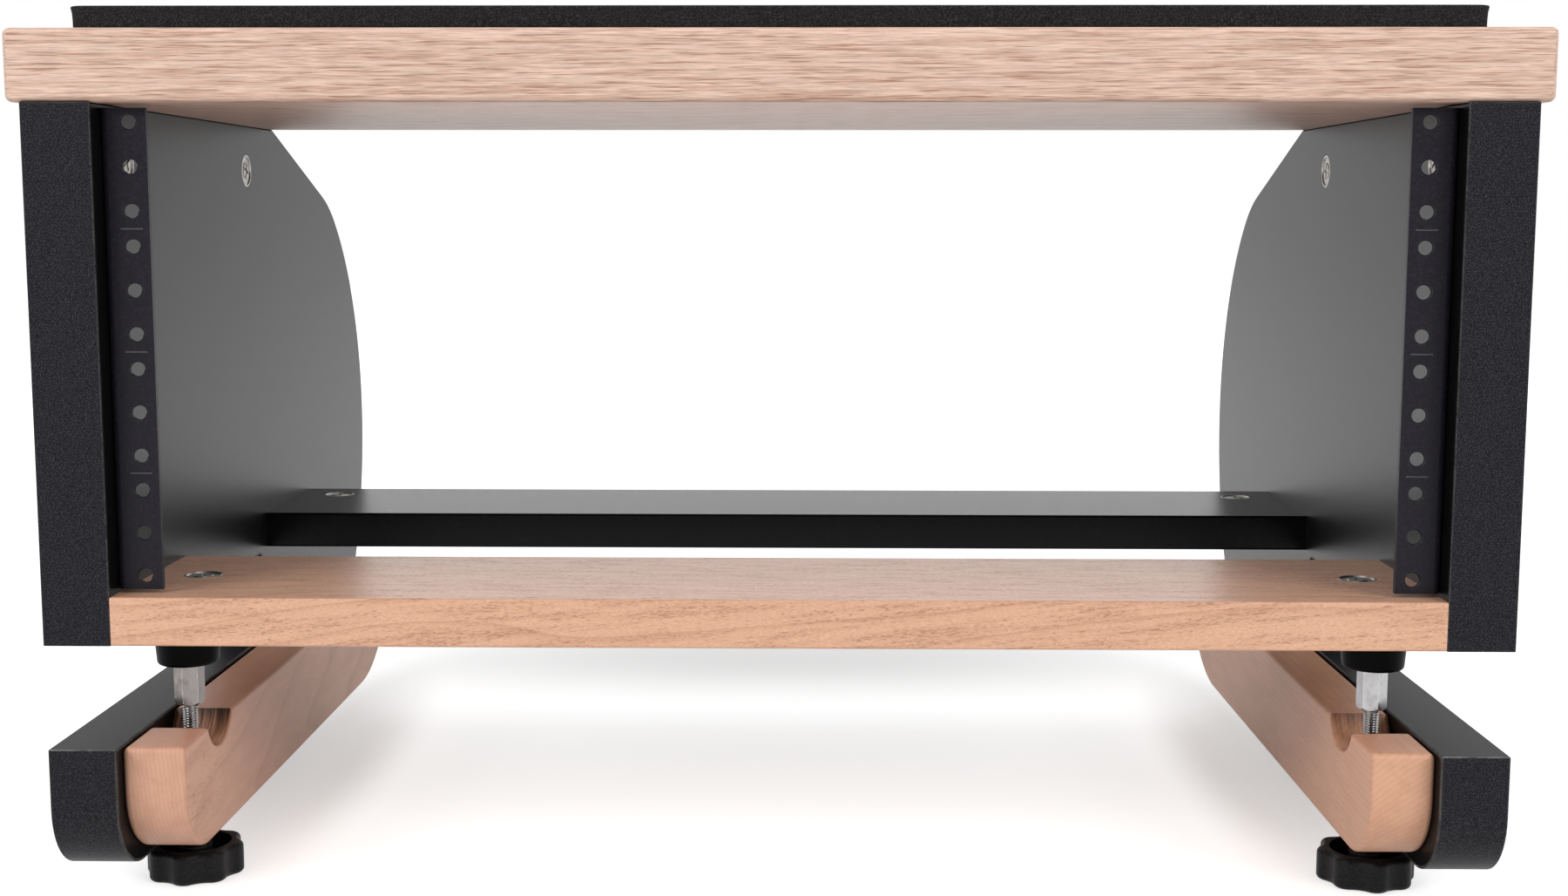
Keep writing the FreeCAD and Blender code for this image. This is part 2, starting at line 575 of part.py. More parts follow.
# Clamps
insert_foot = on_screw(CLAMP_RAIL_BOTTOM)
insert = cylinder(INSERT_RADIUS, insert_foot, insert_foot + UP * INSERT_LENGTH)
thread = cylinder(THREAD_RADIUS + RUNNING_FIT, insert_foot - UP * OVERCUT, on_screw(CLAMP_RAIL_TOP))
save_sides("clamp_rail", clamp_rail(clamp_screw_holes))
save("clamp_rail_screws", both([screw for screw, _ in clamp_screws]))
save_sides("thread_insert", insert.cut(thread))
save_sides("clamp_pad", clamp_pad())
save_sides("pad_stud", pad_stud())
save_sides("coupling_nut", coupling_nut())
save_sides("threaded_rod", cylinder(THREAD_RADIUS, on_screw(KNOB_FLOOR), on_screw(NUT_BOTTOM + ROD_IN_NUT)))
save_sides("knob", knob())
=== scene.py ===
"""Looks of the studio equipment rack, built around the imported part. Lengths are in metres."""

import json
import logging
import math
from collections.abc import Sequence
from dataclasses import dataclass, replace
from enum import Enum
from functools import cache

import bmesh
import bpy
from mathutils import Matrix, Vector


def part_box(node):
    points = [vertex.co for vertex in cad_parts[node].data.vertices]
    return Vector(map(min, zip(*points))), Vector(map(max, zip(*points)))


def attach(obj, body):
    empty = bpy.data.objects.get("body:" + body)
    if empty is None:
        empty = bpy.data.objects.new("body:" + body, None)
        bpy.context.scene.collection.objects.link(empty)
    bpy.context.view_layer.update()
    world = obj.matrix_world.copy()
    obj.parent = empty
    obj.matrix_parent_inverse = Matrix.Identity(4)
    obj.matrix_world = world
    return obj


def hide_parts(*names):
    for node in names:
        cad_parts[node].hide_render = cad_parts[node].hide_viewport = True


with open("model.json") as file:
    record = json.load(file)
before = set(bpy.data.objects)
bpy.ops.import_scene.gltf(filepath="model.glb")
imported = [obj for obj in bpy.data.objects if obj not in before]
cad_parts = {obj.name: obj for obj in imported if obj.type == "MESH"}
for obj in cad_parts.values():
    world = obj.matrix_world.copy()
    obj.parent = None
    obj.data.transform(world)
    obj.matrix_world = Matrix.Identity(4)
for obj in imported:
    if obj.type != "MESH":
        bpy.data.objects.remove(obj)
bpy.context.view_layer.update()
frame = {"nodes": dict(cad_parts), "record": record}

LOG = logging.getLogger("equipment_rack")
MM = 0.001
Triple = tuple[float, float, float]
Colour = Triple
Pair = tuple[float, float]
Shape = bmesh.types.BMesh
Socket = bpy.types.NodeSocket
Sockets = bpy.types.bpy_prop_collection | Sequence[Socket]
Feed = Socket | float | tuple[float, ...]
Feeds = dict[str, Feed] | Sequence[Feed]


class Side(Enum):
    """The two sides of the rack, with the sign of their X."""

    LEFT = -1
    RIGHT = 1

    def node(self, name: str) -> str:
        """Name of this side's node or body."""
        return f"{self.name.lower()}_{name}"


class Fibre(Enum):
    """Axis that a piece of wood's fibres follow, with the turn that brings it to X."""

    ACROSS = 0.0
    TO_REAR = -math.pi / 2


class Graph:
    """A node tree, with short calls that add nodes and join them."""

    def __init__(self, tree: bpy.types.NodeTree) -> None:
        """Keeps the tree that the calls add to."""
        self.tree = tree

    def node(self, kind: str, **settings: object) -> bpy.types.Node:
        """Adds a shader node.

        Args:
            kind: Node type after its ShaderNode prefix.
            settings: Properties of the node.

        Returns:
            The new node.
        """
        made = self.tree.nodes.new("ShaderNode" + kind)
        for name, value in settings.items():
            setattr(made, name, value)
        return made

    def feed(self, target: Socket, value: Feed) -> None:
        """Links an output to a socket, or sets the socket's own value.

        Args:
            target: The input that is fed.
            value: What it takes.
        """
        if isinstance(value, bpy.types.NodeSocket):
            self.tree.links.new(value, target)
        elif target.type == "RGBA":
            target.default_value = (*value, 1.0)
        else:
            target.default_value = value

    def feed_all(self, targets: Sockets, values: Feeds) -> None:
        """Feeds several sockets.

        Args:
            targets: The inputs that are fed.
            values: What they take, by name or in order.
        """
        pairs = values.items() if isinstance(values, dict) else enumerate(values)
        for key, value in pairs:
            self.feed(targets[key], value)

    def filled(self, kind: str, terms: Feeds, **settings: object) -> Sockets:
        """Adds a shader node and feeds its inputs.

        Args:
            kind: Node type after its ShaderNode prefix.
            terms: What its inputs take, by name or in order.
            settings: Properties of the node.

        Returns:
            The node's outputs.
        """
        made = self.node(kind, **settings)
        self.feed_all(made.inputs, terms)
        return made.outputs

    def number(self, operation: str, *terms: Feed) -> Socket:
        """Result of a Math node."""
        return self.filled("Math", terms, operation=operation)[0]

    def times(self, first: Feed, second: Feed) -> Socket:
        """Product of two numbers."""
        return self.number("MULTIPLY", first, second)

    def scale_of(self, size: Feed) -> Socket:
        """Scale of a texture with cells of a size."""
        return self.number("DIVIDE", 1.0, size)

    def vector(self, operation: str, *terms: Feed) -> Socket:
        """Result of a Vector Math node."""
        outputs = self.filled("VectorMath", terms, operation=operation)
        return next(socket for socket in outputs if socket.enabled)

    def joined(self, *axes: Feed) -> Socket:
        """Vector of three numbers."""
        return self.filled("CombineXYZ", axes)[0]

    def axes(self, vector: Feed) -> Sockets:
        """X, Y and Z of a vector."""
        return self.filled("SeparateXYZ", (vector,))

    def turned(self, vector: Feed, turn: Triple) -> Socket:
        """Vector after a turn about X, Y and Z."""
        return self.filled("Mapping", (vector, (0.0, 0.0, 0.0), turn))[0]

    def place(self) -> Socket:
        """Coordinates on the piece, which are those of the whole rack."""
        return self.node("TexCoord").outputs["Object"]

    def aside(self) -> Socket:
        """How far the surface faces left or right, from 0 to 1."""
        facing = self.axes(self.node("TexCoord").outputs["Normal"])
        return self.number("ABSOLUTE", facing["X"])

    def span(self, value: Feed, low: Feed, high: Feed, start: Feed = 0.0, end: Feed = 1.0) -> Socket:
        """Smooth step of a value, from start at the low limit to end at the high limit."""
        terms = (value, low, high, start, end)
        return self.filled("MapRange", terms, interpolation_type="SMOOTHSTEP")["Result"]

    def mix(self, share: Feed, first: Feed, second: Feed, way: str = "MIX") -> Socket:
        """Blend of two colours.

        Args:
            share: Part of the second colour.
            first: Colour below.
            second: Colour above.
            way: Blend type.

        Returns:
            The blended colour.
        """
        made = self.node("Mix", data_type="RGBA", blend_type=way)
        colours = [socket for socket in made.inputs if socket.type == "RGBA"]
        self.feed_all((made.inputs[0], *colours), (share, first, second))
        return next(socket for socket in made.outputs if socket.type == "RGBA")

    def grain(self, vector: Feed, scale: Feed, detail: float = 2.0, rough: float = 0.5,
              output: str = "Fac") -> Socket:
        """Output of a noise texture."""
        terms = {"Vector": vector, "Scale": scale, "Detail": detail, "Roughness": rough}
        return self.filled("TexNoise", terms)[output]

    def bump(self, height: Feed, depth: float) -> Socket:
        """Normal of a relief, in which a height of 1 is as deep as the depth."""
        return self.filled("Bump", {"Distance": depth, "Height": height})["Normal"]

    def effect(self, effect: "Effect", **given: Feed) -> Sockets:
        """Outputs of an effect's group."""
        return self.filled("Group", given, node_tree=effect.group())


class Effect:
    """A node group that several finishes share. Subclasses wire it."""

    name = ""
    inputs: dict[str, float] = {}
    outputs: tuple[str, ...] = ()

    @cache
    def group(self) -> bpy.types.NodeTree:
        """The group, which is built when it is first asked for.

        Returns:
            The group's tree.
        """
        made = bpy.data.node_groups.new(self.name, "ShaderNodeTree")
        made.interface.new_socket("vector", in_out="INPUT", socket_type="NodeSocketVector")
        for label, value in self.inputs.items():
            socket = made.interface.new_socket(label, in_out="INPUT", socket_type="NodeSocketFloat")
            socket.default_value = value
        for label in self.outputs:
            made.interface.new_socket(label, in_out="OUTPUT", socket_type="NodeSocketFloat")
        graph = Graph(made)
        given = made.nodes.new("NodeGroupInput").outputs
        result = made.nodes.new("NodeGroupOutput").inputs
        graph.feed_all(result, self.wire(graph, given))
        return made

    def wire(self, graph: Graph, given: Sockets) -> tuple[Socket, ...]:
        """Wires the group.

        Args:
            graph: The group's tree.
            given: The group's inputs.

        Returns:
            One socket for each output.
        """
        raise NotImplementedError


class SolidWood(Effect):
    """Wood through and through: X runs along the fibres, and the rings lie around X."""

    name = "solid_wood"
    inputs = {"ring_spacing": 0.003, "ring_wander": 0.01, "ring_edge": 4.0, "pore_length": 0.008,
              "pore_width": 0.0005, "band_length": 0.08, "band_width": 0.004}
    outputs = ("Rings", "Pores", "Fibres", "Bands")
    drift_scale: Triple = (4.0, 16.0, 16.0)
    ring_end = 0.95
    pore_edge = 0.09
    fibre_scale = 1.7

    def wire(self, graph: Graph, given: Sockets) -> tuple[Socket, ...]:
        """Wires the rings, the pores, the fibres and the bands.

        Args:
            graph: The group's tree.
            given: The group's inputs.

        Returns:
            The outputs.
        """
        place = given["vector"]
        drift = graph.grain(graph.vector("MULTIPLY", place, self.drift_scale), 1.0, output="Color")
        drift = graph.vector("SUBTRACT", drift, (0.5, 0.5, 0.5))
        wander = given["ring_wander"]
        bent = graph.vector("MULTIPLY_ADD", drift, graph.joined(wander, wander, wander), place)
        radius = graph.vector("LENGTH", graph.vector("MULTIPLY", bent, (0.0, 1.0, 1.0)))
        ring = graph.number("FRACT", graph.number("DIVIDE", radius, given["ring_spacing"]))
        late = graph.number("POWER", ring, given["ring_edge"])
        rings = graph.times(late, graph.span(ring, 1.0, self.ring_end))
        bands = self.streaks(graph, given, "band", 1.0, 4.0)
        limit = graph.span(bands, 0.35, 0.7, 0.68, 0.5)
        end = graph.number("ADD", limit, self.pore_edge)
        pores = graph.span(self.streaks(graph, given, "pore", 1.0, 1.0), limit, end)
        return rings, pores, self.streaks(graph, given, "pore", self.fibre_scale, 3.0), bands

    def streaks(self, graph: Graph, given: Sockets, kind: str, scale: float, detail: float) -> Socket:
        """Noise as long and wide as the pores or the bands, drawn out along the fibres."""
        size = graph.joined(*(given[f"{kind}_{axis}"] for axis in ("length", "width", "width")))
        return graph.grain(graph.vector("DIVIDE", given["vector"], size), scale, detail, 0.6)


class Pebble(Effect):
    """Fine pebbled skin of laminate, paint, moulded plastic and foam."""

    name = "pebbled_skin"
    inputs = {"size": 0.0006}
    outputs = ("Height", "Specks")

    def wire(self, graph: Graph, given: Sockets) -> tuple[Socket, ...]:
        """Relief, and the specks on its tops."""
        height = graph.grain(given["vector"], graph.scale_of(given["size"]), 3.0, 0.7)
        return height, graph.span(height, 0.46, 0.66)


class Scuffs(Effect):
    """Scratches in two directions, in patches of handling."""

    name = "scuffs"
    outputs = ("Scratches",)
    size: Triple = (0.02, 0.00025, 0.02)
    patch_scale = 25.0
    turns: tuple[Triple, ...] = ((0.5, 0.7, 0.4), (-0.6, 0.3, -1.1))

    def wire(self, graph: Graph, given: Sockets) -> tuple[Socket, ...]:
        """Wires the scratches.

        Args:
            graph: The group's tree.
            given: The group's inputs.

        Returns:
            The outputs.
        """
        marks = []
        for turn in self.turns:
            drawn = graph.vector("DIVIDE", graph.turned(given["vector"], turn), self.size)
            marks.append(graph.span(graph.grain(drawn, 1.0, 1.0), 0.72, 0.8))
        patches = graph.grain(given["vector"], self.patch_scale, 3.0, 0.55)
        return (graph.times(graph.number("MAXIMUM", *marks), graph.span(patches, 0.4, 0.7)),)


class Plating(Effect):
    """Clouded and drawn look of plated metal."""

    name = "plating"
    inputs = {"cloud_size": 0.002}
    outputs = ("Clouds", "Lines", "Pits")
    line_scale: Triple = (5000.0, 5000.0, 200.0)
    pit_scale = 2500.0

    def wire(self, graph: Graph, given: Sockets) -> tuple[Socket, ...]:
        """Wires the clouds, the drawn lines and the pits.

        Args:
            graph: The group's tree.
            given: The group's inputs.

        Returns:
            The outputs.
        """
        place = given["vector"]
        clouds = graph.grain(place, graph.scale_of(given["cloud_size"]), 3.0, 0.6)
        lines = graph.grain(graph.vector("MULTIPLY", place, self.line_scale), 1.0)
        pits = graph.grain(place, self.pit_scale, 1.0)
        return graph.span(clouds, 0.35, 0.68), lines, graph.span(pits, 0.66, 0.74)


class EdgeWear(Effect):
    """Edges that handling has rubbed, broken up along their length."""

    name = "edge_wear"
    inputs = {"radius": 0.0006, "break_size": 0.006}
    outputs = ("Edges",)

    def wire(self, graph: Graph, given: Sockets) -> tuple[Socket, ...]:
        """Wires the mask, from how far the surface turns within the radius.

        Args:
            graph: The group's tree.
            given: The group's inputs.

        Returns:
            The outputs.
        """
        soft = graph.filled("Bevel", (given["radius"],), samples=6)["Normal"]
        along = graph.vector("DOT_PRODUCT", soft, graph.node("NewGeometry").outputs["Normal"])
        broken = graph.grain(given["vector"], graph.scale_of(given["break_size"]), 3.0, 0.65)
        return (graph.times(graph.span(along, 0.985, 0.86), graph.span(broken, 0.34, 0.66, 0.25, 1.0)),)


SOLID_WOOD = SolidWood()
PEBBLE = Pebble()
SCUFFS = Scuffs()
PLATING = Plating()
EDGE_WEAR = EdgeWear()


@dataclass(frozen=True)
class Finish:
    """A surface of one kind. Subclasses shade it."""

    name: str
    slot: str

    @cache
    def material(self) -> bpy.types.Material:
        """The material, which is built when it is first asked for.

        Returns:
            The material.
        """
        made = bpy.data.materials.new(self.name)
        made.use_nodes = True
        self.shade(Graph(made.node_tree), made.node_tree.nodes["Principled BSDF"].inputs)
        return made

    def shade(self, graph: Graph, surface: Sockets) -> None:
        """Wires the material.

        Args:
            graph: The material's tree.
            surface: Inputs of its shader.
        """
        raise NotImplementedError


@dataclass(frozen=True)
class Wood(Finish):
    """Sawn and oiled wood, with its rings, pores and fibres in the solid."""

    pale: Colour
    ring: Colour
    pore: Colour
    heart: Triple
    lean: Pair
    ring_spacing: float
    ring_wander: float
    ring_edge: float
    ring_share: float
    pore_length: float
    pore_width: float
    pore_share: float
    band_length: float = 0.03
    band_width: float = 0.006
    band_share: float = 0.2
    fibre: Fibre = Fibre.ACROSS
    fibre_share: float = 0.06
    roughness: float = 0.42
    specular: float = 0.5
    pore_roughness: float = 0.2
    pore_depth: float = 1.8
    relief: float = 0.00004
    edge_radius: float = 0.0012
    edge_break: float = 0.012
    edge_share: float = 0.06
    end_rings: float = 1.0
    end_pores: float = 1.0
    fleck_spot: Triple | None = None
    fleck_reach: float = 0.034
    fleck_rest: float = 0.08
    burn_axis: Pair | None = None
    burn_radius: float = 0.016
    burn_share: float = 0.0
    burn_wall: Pair = (0.9 * MM, 0.1 * MM)
    burn_brown: Colour = (0.13, 0.06, 0.03)
    burn_black: Colour = (0.018, 0.01, 0.007)
    brown_end: float = -8 * MM
    black_span: Pair = (-10.5 * MM, -4 * MM)
    wisp_scale: Triple = (1300.0, 60.0, 60.0)
    wisp_rise: float = 3 * MM

    def shade(self, graph: Graph, surface: Sockets) -> None:
        """Wires the colour, from pale wood through rings and bands to pores.

        Args:
            graph: The material's tree.
            surface: Inputs of its shader.
        """
        place = graph.place()
        along = graph.turned(graph.vector("SUBTRACT", place, self.heart), (0.0, 0.0, self.fibre.value))
        along = graph.turned(along, (0.0, *self.lean))
        sizes = {name: getattr(self, name) for name in SOLID_WOOD.inputs}
        wood = graph.effect(SOLID_WOOD, vector=along, **sizes)
        aside = graph.span(graph.aside(), 0.5, 0.9)
        rings = graph.times(wood["Rings"], self.ring_share)
        bands = graph.times(graph.span(wood["Bands"], 0.4, 0.62), self.band_share)
        pores = graph.times(wood["Pores"], self.pore_share)
        if self.fibre is Fibre.ACROSS:
            at_ends = graph.span(aside, 0.0, 1.0, 1.0, self.end_pores)
            rings = graph.times(rings, graph.span(aside, 0.0, 1.0, 1.0, self.end_rings))
            bands = graph.times(bands, at_ends)
            pores = graph.times(pores, at_ends)
        if self.fleck_spot:
            away = graph.vector("DISTANCE", place, self.fleck_spot)
            near = graph.span(away, self.fleck_reach, 0.3 * self.fleck_reach, self.fleck_rest, 1.0)
            pores = graph.times(pores, graph.times(near, aside))
        colour = graph.mix(rings, self.pale, self.ring)
        colour = graph.mix(bands, colour, self.ring)
        colour = graph.mix(pores, colour, self.pore)
        fibres = graph.span(wood["Fibres"], 0.28, 0.72, 1.0 - self.fibre_share, 1.0 + self.fibre_share)
        colour = graph.mix(1.0, colour, graph.joined(fibres, fibres, fibres), "MULTIPLY")
        if self.burn_axis:
            colour = self.burnt(graph, place, colour)
        edges = graph.effect(EDGE_WEAR, vector=place, radius=self.edge_radius, break_size=self.edge_break)
        colour = graph.mix(graph.times(edges["Edges"], self.edge_share), colour, self.ring)
        rough = graph.span(pores, 0.0, 1.0, self.roughness, self.roughness + self.pore_roughness)
        height = graph.number("SUBTRACT", wood["Fibres"], graph.times(pores, self.pore_depth))
        graph.feed_all(surface, {
            "Base Color": colour, "Roughness": rough, "Specular IOR Level": self.specular,
            "Normal": graph.bump(height, self.relief)})

    def burnt(self, graph: Graph, place: Socket, colour: Socket) -> Socket:
        """Scorch that the cutter left on the wall of a round groove across the rack.

        Args:
            graph: The material's tree.
            place: Coordinates on the piece.
            colour: Wood without the scorch.

        Returns:
            The scorched colour.
        """
        ray = graph.vector("SUBTRACT", place, (0.0, *self.burn_axis))
        radius = graph.vector("LENGTH", graph.vector("MULTIPLY", ray, (0.0, 1.0, 1.0)))
        wall = graph.span(radius, *(self.burn_radius + more for more in self.burn_wall))
        wisps = graph.grain(graph.vector("MULTIPLY", place, self.wisp_scale), 1.0, 3.0)
        wisps = graph.span(wisps, 0.3, 0.7, -self.wisp_rise, self.wisp_rise)
        smoke = graph.number("ADD", wisps, graph.axes(ray)["Z"])
        brown = graph.span(smoke, -self.burn_radius, self.brown_end, 0.4, 0.95)
        black = graph.span(smoke, *self.black_span)
        for mask, burn in ((brown, self.burn_brown), (black, self.burn_black)):
            colour = graph.mix(graph.times(graph.times(wall, mask), self.burn_share), colour, burn)
        return colour


@dataclass(frozen=True)
class Skin(Finish):
    """Dark pebbled skin: laminate, edging, paint, moulded plastic or foam."""

    base: Colour
    speck: Colour
    worn: Colour
    pebble: float
    depth: float
    roughness: float
    specular: float = 0.5
    speck_share: float = 0.6
    wear_share: float = 0.4
    wear_radius: float = 0.0007
    scuff_share: float = 0.1
    arris_share: float = 0.0
    rub_height: float = 0.0
    # Painted shade: a black line just below this level, for the shadow in the joint where a panel meets the
    # board above it.
    shade_line_level: float = 0.0
    shade_line_span: Pair = (0.7 * MM, 0.4 * MM)
    rough_span: Pair = (-0.03, 0.06)

    def shade(self, graph: Graph, surface: Sockets) -> None:
        """Wires the specks, the scuffs, the worn edges and a painted shade line along a panel's top edge.

        Args:
            graph: The material's tree.
            surface: Inputs of its shader.
        """
        place = graph.place()
        level = graph.axes(place)["Z"]
        skin = graph.effect(PEBBLE, vector=place, size=self.pebble)
        scratches = graph.effect(SCUFFS, vector=place)["Scratches"]
        edges = graph.effect(EDGE_WEAR, vector=place, radius=self.wear_radius)["Edges"]
        wear = graph.times(edges, self.wear_share)
        if self.rub_height:
            wear = graph.times(wear, graph.span(level, self.rub_height, 0.9 * self.rub_height, 0.2, 1.0))
        colour = graph.mix(graph.times(skin["Specks"], self.speck_share), self.base, self.speck)
        colour = graph.mix(graph.times(scratches, self.scuff_share), colour, self.worn)
        colour = graph.mix(wear, colour, self.worn)
        rough = graph.span(skin["Specks"], 0.0, 1.0, *(self.roughness + more for more in self.rough_span))
        # Painted shade: colour goes to black and roughness to 1 in the top 0.4 to 0.7 mm of the panel, where
        # the joint under the board is in shadow.
        if self.shade_line_level:
            shade_line = graph.span(level, *(self.shade_line_level - below for below in self.shade_line_span))
            colour = graph.mix(shade_line, colour, (0.0, 0.0, 0.0))
            rough = graph.number("MAXIMUM", rough, shade_line)
        if self.arris_share:
            colour = graph.mix(self.arrises(graph, place), colour, self.worn)
        graph.feed_all(surface, {
            "Base Color": colour, "Roughness": rough, "Specular IOR Level": self.specular,
            "Normal": graph.bump(skin["Height"], self.depth)})

    def arrises(self, graph: Graph, place: Socket) -> Socket:
        """Rubbed line on the round that joins an upright face to the sides of a panel.

        Args:
            graph: The material's tree.
            place: Coordinates on the piece.

        Returns:
            The mask of the line.
        """
        aside = graph.aside()
        line = graph.times(graph.span(aside, 0.12, 0.4), graph.span(aside, 0.98, 0.88))
        rubbed = graph.span(graph.grain(place, 160.0, 4.0, 0.75), 0.36, 0.62, 0.2, 1.0)
        return graph.times(graph.times(line, self.arris_share), rubbed)


@dataclass(frozen=True)
class Metal(Finish):
    """Plated or plain metal with clouds, drawn lines and bright edges."""

    base: Colour
    stain: Colour
    bright: Colour
    roughness: float
    cloud_size: float = 0.002
    cloud_roughness: float = 0.14
    stain_share: float = 0.6
    pit_share: float = 0.5
    line_depth: float = 0.00001
    edge_radius: float = 0.0004
    edge_break: float = 0.003

    def shade(self, graph: Graph, surface: Sockets) -> None:
        """Wires the clouds, the pits and the rubbed edges.

        Args:
            graph: The material's tree.
            surface: Inputs of its shader.
        """
        place = graph.place()
        plate = graph.effect(PLATING, vector=place, cloud_size=self.cloud_size)
        edges = graph.effect(EDGE_WEAR, vector=place, radius=self.edge_radius, break_size=self.edge_break)
        colour = graph.mix(graph.times(plate["Clouds"], self.stain_share), self.base, self.stain)
        colour = graph.mix(graph.times(plate["Pits"], self.pit_share), colour, self.stain)
        colour = graph.mix(edges["Edges"], colour, self.bright)
        rough = graph.span(plate["Clouds"], 0.0, 1.0, self.roughness, self.roughness + self.cloud_roughness)
        graph.feed_all(surface, {
            "Base Color": colour, "Roughness": rough, "Metallic": 1.0,
            "Normal": graph.bump(plate["Lines"], self.line_depth)})


OAK = Wood(
    "pale_oak", "oak", pale=(0.81, 0.585, 0.475), ring=(0.53, 0.3, 0.21), pore=(0.37, 0.175, 0.112),
    heart=(0.1, 0.25, -0.35), lean=(0.004, 0.006), ring_spacing=0.0042, ring_wander=0.012, ring_edge=4.0,
    ring_share=0.2, pore_length=0.016, pore_width=0.00037, pore_share=0.68, band_length=0.034,
    band_width=0.0009, band_share=0.5, fibre_share=0.24, roughness=0.36, specular=0.18, end_rings=3.2,
    end_pores=0.3)
SHELF_BEECH = Wood(
    "shelf_beech", "beech", pale=(0.8, 0.455, 0.295), ring=(0.47, 0.21, 0.115), pore=(0.35, 0.145, 0.078),
    heart=(-0.05, -0.245, 0.06), lean=(0.1, 0.03), ring_spacing=0.0085, ring_wander=0.028, ring_edge=11.0,
    ring_share=0.62, pore_length=0.0025, pore_width=0.00036, pore_share=0.55, band_length=0.04,
    band_width=0.003, fibre_share=0.15, roughness=0.22)
LEFT_BEECH = Wood(
    "left_clamp_beech", "beech", pale=(0.75, 0.422, 0.29), ring=(0.5, 0.225, 0.135), pore=(0.36, 0.16, 0.09),
    heart=(-0.9, 0.0, 0.0), lean=(0.01, 0.02), ring_spacing=0.0016, ring_wander=0.005, ring_edge=5.0,
    ring_share=0.42, pore_length=0.0055, pore_width=0.00038, pore_share=0.45, fibre=Fibre.TO_REAR,
    specular=0.36, fleck_spot=(-0.2195, -0.178, 0.038), burn_axis=(-0.1515, 0.0682), burn_share=0.92)
RIGHT_BEECH = Wood(
    "right_clamp_beech", "beech", pale=(0.785, 0.44, 0.288), ring=(0.55, 0.26, 0.155), pore=(0.42, 0.2, 0.12),
    heart=(0.385, 0.0, -0.157), lean=(0.015, 0.02), ring_spacing=0.0021, ring_wander=0.004, ring_edge=7.0,
    ring_share=0.52, pore_length=0.0035, pore_width=0.00035, pore_share=0.05, fibre=Fibre.TO_REAR,
    specular=0.3, burn_axis=(-0.1515, 0.0682), burn_share=0.5)
DOWEL_BEECH = Wood(
    "dowel_beech", "beech", pale=(0.75, 0.5, 0.34), ring=(0.6, 0.36, 0.22), pore=(0.46, 0.26, 0.15),
    heart=(0.0, 0.1, 0.0), lean=(0.0, 0.0), ring_spacing=0.002, ring_wander=0.002, ring_edge=3.0,
    ring_share=0.4, pore_length=0.003, pore_width=0.0004, pore_share=0.3, band_length=0.01, band_width=0.002,
    fibre_share=0.1, roughness=0.6)
# The panels' laminate carries a painted shade line along their top edge, under the board.
LAMINATE = Skin(
    "satin_laminate", "black_laminate", base=(0.002, 0.002, 0.0022), speck=(0.016, 0.0158, 0.0158),
    worn=(0.07, 0.07, 0.07), pebble=0.0005, depth=0.00006, roughness=0.33, specular=0.156, wear_share=0.25,
    shade_line_level=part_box("left_side_panel")[1].z)
# Painted shade: the panel laminate again with half its colour and less shine, so that the crossbar's front,
# in shade at the rear of the rack, reads darker.
SHADED_BAR_LAMINATE = replace(
    LAMINATE, name="shaded_crossbar_laminate", base=(0.001, 0.001, 0.001), speck=(0.008, 0.008, 0.008),
    roughness=0.19, specular=0.11)
EDGING = Skin(
    "pebbled_edging", "edging", base=(0.004, 0.004, 0.006), speck=(0.073, 0.069, 0.083),
    worn=(0.36, 0.36, 0.34), pebble=0.00045, depth=0.00014, roughness=0.42, specular=0.12, speck_share=0.8,
    wear_share=0.85, wear_radius=0.0011, arris_share=0.15, rub_height=0.09)
RAIL_PAINT = Skin(
    "rail_paint", "rack_steel", base=(0.012, 0.0105, 0.0155), speck=(0.028, 0.025, 0.036),
    worn=(0.06, 0.06, 0.065), pebble=0.0011, depth=0.00002, roughness=0.42, specular=0.16, speck_share=0.5,
    wear_share=0.35)
RAIL_MARK = Skin(
    "rail_mark", "rack_steel", base=(0.03, 0.029, 0.032), speck=(0.06, 0.06, 0.064),
    worn=(0.16, 0.16, 0.16), pebble=0.0008, depth=0.00002, roughness=0.45, wear_share=0.3)
MAT_FOAM = Skin(
    "mat_foam", "mat", base=(0.004, 0.0035, 0.004), speck=(0.075, 0.07, 0.073), worn=(0.16, 0.16, 0.16),
    pebble=0.0005, depth=0.00015, roughness=0.85, specular=0.25, wear_share=0.1, scuff_share=0.3)
# Black plastic of the clamp pads. It is darker and duller than the knobs' plastic partly as painted shade,
# since the pads sit in shade under the shelf.
SHADED_PAD_PLASTIC = Skin(
    "shaded_pad_plastic", "black_plastic", base=(0.002, 0.0019, 0.0018), speck=(0.005, 0.005, 0.005),
    worn=(0.03, 0.03, 0.03), pebble=0.0006, depth=0.00001, roughness=0.4, specular=0.04, wear_share=0.2)
KNOB_PLASTIC = Skin(
    "knob_plastic", "black_plastic", base=(0.003, 0.003, 0.0033), speck=(0.04, 0.039, 0.04),
    worn=(0.15, 0.145, 0.14), pebble=0.0005, depth=0.00005, roughness=0.45, specular=0.15, wear_share=0.6)
ZINC = Metal(
    "zinc_plate", "zinc", base=(0.42, 0.415, 0.42), stain=(0.24, 0.22, 0.21), bright=(0.78, 0.78, 0.78),
    roughness=0.14, cloud_size=0.006, stain_share=0.2)
STAINED_ZINC = Metal(
    "stained_zinc", "zinc", base=(0.25, 0.225, 0.215), stain=(0.09, 0.068, 0.058), bright=(0.78, 0.76, 0.74),
    roughness=0.16, cloud_size=0.011)
NICKEL = Metal(
    "nickel_plate", "nickel", base=(0.42, 0.41, 0.39), stain=(0.27, 0.26, 0.24), bright=(0.8, 0.79, 0.77),
    roughness=0.33, stain_share=0.35)
BRASS = Metal(
    "plain_brass", "brass", base=(0.72, 0.53, 0.24), stain=(0.45, 0.3, 0.12), bright=(0.86, 0.7, 0.4),
    roughness=0.3)


